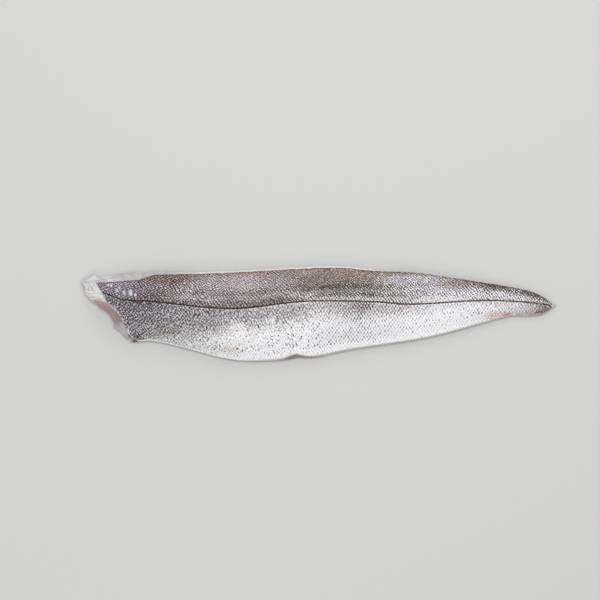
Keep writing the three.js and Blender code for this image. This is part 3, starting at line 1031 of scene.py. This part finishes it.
def lap_fields(at):
    """Height of the lapped scales, as in the mesh but crisper, and a band at their rear edges."""
    ahead_a = at.row_a.math("FRACT")
    ahead_b = at.row_b.math("FRACT")
    rear = (ahead_a * ahead_a + ahead_b * ahead_b) ** 0.5
    past_edge = rear.rise(0.95, 1.04)
    return (ahead_a + ahead_b) * 0.5 - past_edge * 0.5, rear.rise(0.75, 0.97) * (1 - past_edge)


def stained(colour, at):
    """A colour with the skin's brown and reddish stains over it, and one painted shade along the tail's
    belly edge, mottled, and thinner over pale scales.
    """
    mottle = (0.45 + 0.55 * at.tint.rise(0.4, 0.58)) * (1 - 0.25 * at.pale)
    for code, centre, size, strength in STAINS:
        stain_x = at.along + (at.cloud - 0.5) * 1.2 * size[0]
        stain_y = at.crosswise + (at.patch - 0.5) * 1.2 * size[1]
        stain = stain_x.near(stain_y, centre, size) * mottle * strength
        colour = colour.shaded(code, stain)
    return colour


def lateral_line(at):
    """The dark lateral line, a row of beads broken here and there."""
    dash = at.along.point(0).grain(3.5, 2)
    bead = (at.along / 3.4 + dash).wave()
    off_line = (at.flank + (at.fine - 0.5) * 0.6).math("ABSOLUTE")
    border = at.along.curve(LINE_SPREAD) * (0.75 + 0.5 * dash + 0.2 * bead)
    line = off_line.fall(LINE_CORE, LINE_CORE + border)
    return line * (0.9 + 0.12 * bead) * (0.85 + 0.3 * dash.rise(0.3, 0.5))


def edged(colour, at):
    """A colour with painted shade on the belly and its pale rim, partly painted light, the brown back edge
    and the silver head edge.
    """
    # Painted shade: the white belly greys inside its edge, where it curves away from the light.
    belly_painted_shade = (at.across + (at.cloud - 0.5) * 0.4).rise(0.1, 0.8) * at.across.fall(0.7, 0.95)
    belly_painted_shade = belly_painted_shade * at.along.curve(BELLY_SHADE)
    colour = colour.shaded(BELLY_PAINTED_SHADE, belly_painted_shade * 0.9)
    # The belly's rim: painted light near the head, its own pinkish brown further back.
    belly_rim = at.from_belly.fall(0.4, 2.2)
    rim_light_and_tint = at.along.colours(BELLY_RIM_LIGHT_AND_TINT, LENGTH)
    colour = colour.painted(rim_light_and_tint, belly_rim * 0.8)
    back_rim = (at.from_back + at.fine).fall(1.2, 1.9 + at.cloud)
    back_rim = back_rim * (0.35 + 0.65 * at.tint.rise(0.42, 0.56))
    colour = colour.painted(BACK_EDGE_BROWN, back_rim * at.along.curve(BACK_BROWN))
    torn = at.from_head.fall(0.4, 2.6) * at.place.grain(2.2, 1).rise(0.5, 0.58)
    return colour.painted(TORN_SILVER, torn * at.below_line * 0.85)


def scaled(colour, at):
    """A colour with the scales' pale middles, partly painted highlight, painted shade on their rear edges
    and the net between, and dark marks over it.
    """
    paleness = by_flank(at, BACK_PALE, FLANK_PALE) * (1 - 0.35 * at.line_shade)
    paleness = between(paleness, BELLY_PALE, at.white)
    pale_and_highlight = at.along.colours(PALE_SCALES_AND_HIGHLIGHT, LENGTH)
    pale_and_highlight = pale_and_highlight.painted(PALE_BELLY_SCALES_AND_HIGHLIGHT, at.white.rise(0, 0.6))
    # The pale middles: silvery scale colour and a painted highlight.
    colour = colour.painted(pale_and_highlight, at.pale * paleness)
    # Painted shade on the scales' rear edges and, on the belly, in the net between them.
    colour = colour.shaded(LAP_SHADOW, at.rear_edge * 0.3)
    colour = colour.shaded(NET_SHADOW, at.net * at.white * 0.4)
    mark_colour = at.tint.colours(BACK_MARKS)
    mark_colour = mark_colour.painted(at.along.colours(BELLY_MARKS, LENGTH), at.white)
    return colour.painted(mark_colour, at.dark * (0.7 + 0.6 * at.speckle))


def flecked(colour, at):
    """A colour with small warm and cool flecks over it, fewer on the belly."""
    warmth = (0.75 - 0.35 * at.along.rise(250, 290)) * (1 - at.white)
    warm = at.below_line.colours(WARM_FLECKS)
    colour = colour.shaded(warm, at.tint.rise(0.5, 0.62) * warmth)
    cool = at.below_line.colours(COOL_FLECKS)
    return colour.shaded(cool, at.hue.rise(0.52, 0.64) * (1 - 0.8 * at.white) * 0.6)


def lined(colour, at):
    """A colour with the lateral line over it, flecked with brown."""
    fleck = at.tint.rise(0.5, 0.65) * at.along.rise(30, 230)
    line_colour = at.along.colours(LINE_COLOURS, LENGTH).painted(LINE_FLECK, fleck * 0.8)
    return colour.painted(line_colour, at.line)


def blistered(colour, at):
    """A colour with the pale blisters near the head cut over it, with painted shade at their rims and
    painted highlight in their middles.
    """
    for centre, size in BLISTERS:
        blister = at.along.near(at.crosswise, centre, size)
        colour = colour.painted(blister.colours(BLISTER_COLOURS), blister.rise(0.05, 0.5) * 0.85)
    return colour


def skin_material():
    """Wet scaled skin: tinted ground, dark pigment between pale scales, stains, and the lateral line."""
    material, shader, start = new_material("silver_scaled_skin")
    at = skin_fields(start)
    colour = edged(stained(flecked(scaled(ground_colour(at), at), at), at), at)
    colour = blistered(lined(colour, at), at)
    height = (0.06 + 0.12 * at.scale_luck) * at.lap + 0.06 * at.fine + 0.04 * at.pale
    normal = start.node("ShaderNodeBump", {}, {"Distance": MM, "Height": height})
    feed(shader, {
        "Base Color": colour,
        "Roughness": 0.3 + 0.12 * at.cloud + 0.1 * at.dark + 0.08 * at.scale_luck + 0.3 * at.line,
        "Metallic": 0.12 * (1 - at.dark) * (1 - at.white),
        "Normal": normal,
        "Coat Weight": 0.3 * (1 - at.line),
        "Coat Roughness": 0.15,
        "Specular IOR Level": 0.4,
    })
    return material


skin_piece.data.materials.append(skin_material())
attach(skin_piece, BODY)
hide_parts(NODE)


# The studio
# A plain pale floor that the fillet lies on, and large soft lights, the strongest of them above its back
# edge. The camera looks straight down and sees as much as the photograph does.
FLOOR_HALF = 3
FLOOR_DROP = 0.0002
FLOOR_COLOUR = "c6c6c5"
# Square lights aimed at the fillet: place and side in metres, and power in watts.
LIGHTS = {
    "top_light": ((0.1, 0.6, 1.8), 0.7, 14),
    "window_light": ((0.15, 1.6, 0.9), 0.8, 8),
    "fill_light": ((-0.5, -1.3, 1.4), 1.5, 10),
}
ROOM_LIGHT = 0.55
WHITE = (1, 1, 1, 1)
# The camera's view: its width in metres, and its middle in the fillet's own millimetres.
FRAME_WIDTH = 0.4995
FRAME_CENTRE = (182.6, 11.2)
CAMERA_HEIGHT = 2
SENSOR = 36


def make_floor():
    """One wide flat sheet with a plain pale finish."""
    corners = [(-1, -1), (1, -1), (1, 1), (-1, 1)]
    points = [(FLOOR_HALF * x, FLOOR_HALF * y, -FLOOR_DROP) for x, y in corners]
    mesh = bpy.data.meshes.new("floor")
    mesh.from_pydata(points, [], [(0, 1, 2, 3)])
    material, shader, _ = new_material("pale_floor")
    feed(shader, {"Base Color": tone(FLOOR_COLOUR), "Roughness": 0.7, "Specular IOR Level": 0.2})
    mesh.materials.append(material)
    return put_in_scene("floor", mesh)


def soft_light(name, place, side, power):
    """A large square light at a place, turned towards the fillet."""
    light = bpy.data.lights.new(name, "AREA")
    light.size = side
    light.energy = power
    lamp = put_in_scene(name, light)
    lamp.location = place
    lamp.rotation_euler = (-Vector(place)).to_track_quat("-Z", "Y").to_euler()


make_floor()
for light_name, light_values in LIGHTS.items():
    soft_light(light_name, *light_values)
world = bpy.data.worlds.new("studio")
world.use_nodes = True
background = world.node_tree.nodes["Background"]
background.inputs["Color"].default_value = WHITE
background.inputs["Strength"].default_value = ROOM_LIGHT
bpy.context.scene.world = world
bpy.context.scene.view_settings.view_transform = "Standard"

lens = bpy.data.cameras.new("overhead")
lens.sensor_width = SENSOR
lens.lens = SENSOR * CAMERA_HEIGHT / FRAME_WIDTH
camera = put_in_scene("overhead", lens)
camera.location = (*((np.array(FRAME_CENTRE) + to_frame[:2]) * MM).tolist(), CAMERA_HEIGHT)
bpy.context.scene.camera = camera
